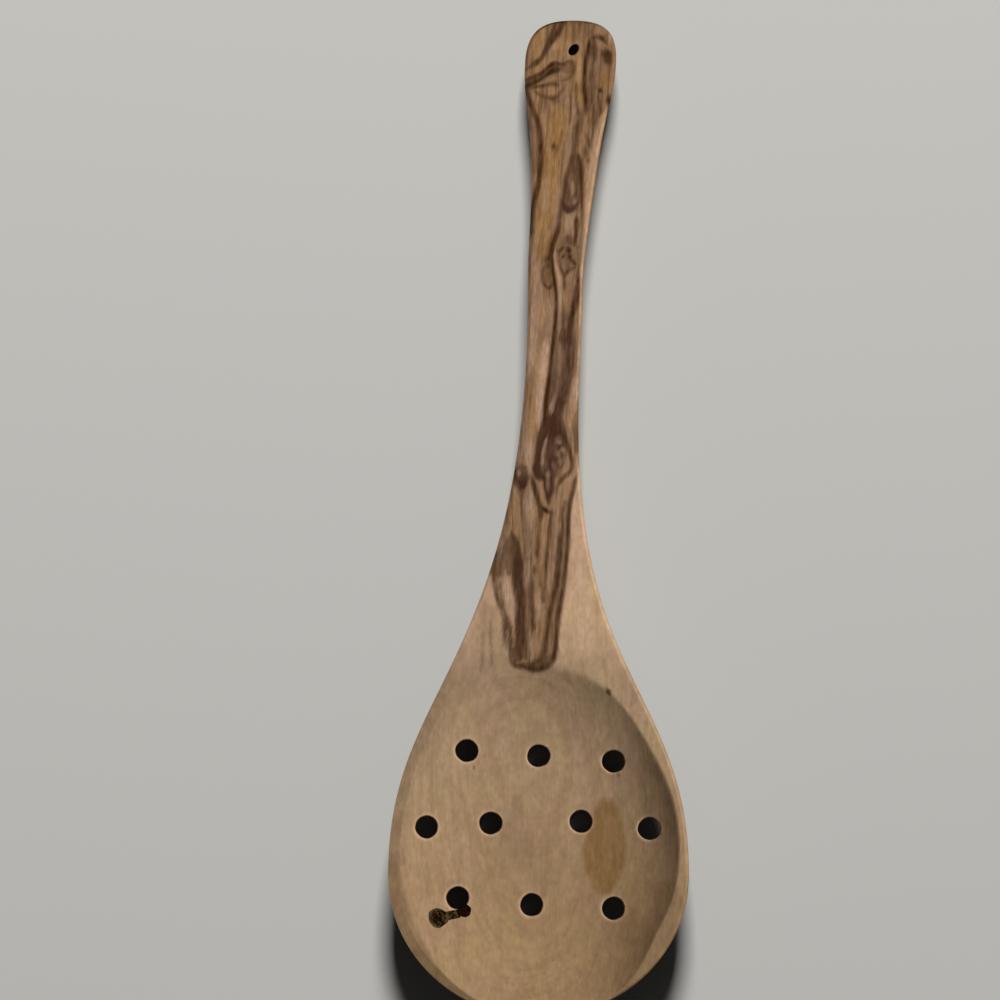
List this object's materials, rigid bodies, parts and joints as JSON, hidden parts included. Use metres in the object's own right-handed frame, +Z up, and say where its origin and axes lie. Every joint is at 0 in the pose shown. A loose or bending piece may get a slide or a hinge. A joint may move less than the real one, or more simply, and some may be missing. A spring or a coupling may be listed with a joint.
{
  "type": "wooden draining spoon",
  "caption": "Carved olive-wood spoon with a shallow oval hollow pierced by round drain holes, a slim leaning handle with a rounded end and a small hang hole.",
  "frame": {"origin": "on the table under the middle of the spoon's box, with the spoon lying on its back", "axes": "+Z up out of the hollow, +Y along the handle from the bowl's tip to the hang hole, +X to the right as seen from the front"},
  "size_m": [0.0904, 0.2998, 0.0181],
  "materials": {
    "olive_wood": "sanded and lightly oiled olive wood, satin",
    "knot_wood": "dark dead knot wood, sanded flush",
    "bark": "dry included bark, matt and crumbly"
  },
  "bodies": {
    "root": {"spoon_body": "olive_wood", "round_knot": "knot_wood", "knot_bark": "bark", "drilled_knot": "knot_wood"}
  },
  "joints": []
}
